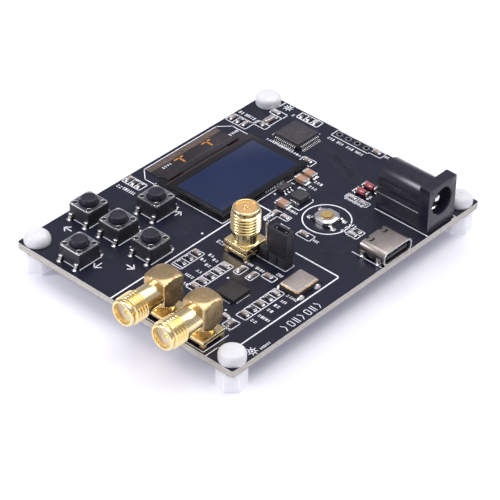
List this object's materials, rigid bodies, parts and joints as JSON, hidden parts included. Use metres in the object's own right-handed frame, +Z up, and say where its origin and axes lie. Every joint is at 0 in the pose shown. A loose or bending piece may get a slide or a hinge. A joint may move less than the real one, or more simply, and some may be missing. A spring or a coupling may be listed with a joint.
{
  "type": "spectrum analyzer board",
  "caption": "Bare black circuit board on nylon standoffs with a small display, push buttons, SMA connectors, a barrel jack and a USB-C socket.",
  "frame": {"origin": "on the standing surface, under the centre of the whole object's bounding box", "axes": "+X towards the two right-angle SMA connectors, +Y towards the edge with the power sockets, +Z up; the display is read from -Y"},
  "size_m": [0.0844, 0.0604, 0.0177],
  "materials": {
    "solder_mask": "black solder mask, satin, over glass-epoxy laminate",
    "nylon": "white translucent nylon, satin",
    "black_plastic": "moulded black thermoplastic, satin",
    "button_plastic": "dark grey moulded plastic, satin",
    "steel": "thin plain steel sheet",
    "gold": "gold-plated brass",
    "insulator": "off-white fluoropolymer",
    "display_glass": "dark opaque display glass, polished",
    "flex": "brown polyimide film",
    "chip_epoxy": "moulded black epoxy, matt",
    "nickel": "nickel-plated metal",
    "ceramic": "brown ceramic with tinned ends",
    "diode_glass": "red glass tube with tinned end caps",
    "actuator": "amber-brown moulded plastic",
    "ferrite": "dark ferrite, matt"
  },
  "bodies": {
    "board": {"circuit_board": "solder_mask", "standoff_front_left": "nylon", "standoff_front_right": "nylon", "standoff_back_left": "nylon", "standoff_back_right": "nylon", "screw_front_left": "nylon", "screw_front_right": "nylon", "screw_back_left": "nylon", "screw_back_right": "nylon", "switch_up_base": "black_plastic", "switch_up_cover": "steel", "switch_down_base": "black_plastic", "switch_down_cover": "steel", "switch_left_base": "black_plastic", "switch_left_cover": "steel", "switch_right_base": "black_plastic", "switch_right_cover": "steel", "switch_centre_base": "black_plastic", "switch_centre_cover": "steel", "reset_base": "black_plastic", "reset_cover": "nickel", "display_glass": "display_glass", "display_flex": "flex", "microcontroller": "chip_epoxy", "synthesizer_chip": "chip_epoxy", "oscillator": "nickel", "upright_sma_shell": "gold", "upright_sma_insulator": "insulator", "upright_sma_contact": "gold", "front_sma_shell": "gold", "front_sma_insulator": "insulator", "front_sma_contact": "gold", "back_sma_shell": "gold", "back_sma_insulator": "insulator", "back_sma_contact": "gold", "dc_jack_housing": "black_plastic", "dc_jack_pin": "nickel", "dc_jack_spring": "nickel", "usb_shell": "nickel", "usb_tongue": "black_plastic", "header_strip": "black_plastic", "header_pin_1": "nickel", "header_pin_2": "nickel", "header_pin_3": "nickel", "jumper_cap": "black_plastic", "power_inductor": "ferrite", "regulator": "chip_epoxy", "diode_1": "diode_glass", "diode_2": "diode_glass", "bulk_capacitor_1": "ceramic", "bulk_capacitor_2": "ceramic", "bulk_capacitor_3": "ceramic", "small_crystal": "nickel"},
    "button_up": {"switch_up_plunger": "button_plastic"},
    "button_down": {"switch_down_plunger": "button_plastic"},
    "button_left": {"switch_left_plunger": "button_plastic"},
    "button_right": {"switch_right_plunger": "button_plastic"},
    "button_centre": {"switch_centre_plunger": "button_plastic"},
    "button_reset": {"reset_plunger": "actuator"}
  },
  "joints": [
    {"name": "press_up", "type": "slide", "parent": "board", "child": "button_up", "axis": [0, 0, -1], "range_m": [0, 0.00025], "stiffness_N_per_m": 6400},
    {"name": "press_down", "type": "slide", "parent": "board", "child": "button_down", "axis": [0, 0, -1], "range_m": [0, 0.00025], "stiffness_N_per_m": 6400},
    {"name": "press_left", "type": "slide", "parent": "board", "child": "button_left", "axis": [0, 0, -1], "range_m": [0, 0.00025], "stiffness_N_per_m": 6400},
    {"name": "press_right", "type": "slide", "parent": "board", "child": "button_right", "axis": [0, 0, -1], "range_m": [0, 0.00025], "stiffness_N_per_m": 6400},
    {"name": "press_centre", "type": "slide", "parent": "board", "child": "button_centre", "axis": [0, 0, -1], "range_m": [0, 0.00025], "stiffness_N_per_m": 6400},
    {"name": "press_reset", "type": "slide", "parent": "board", "child": "button_reset", "axis": [0, 0, -1], "range_m": [0, 0.00025], "stiffness_N_per_m": 6400}
  ]
}
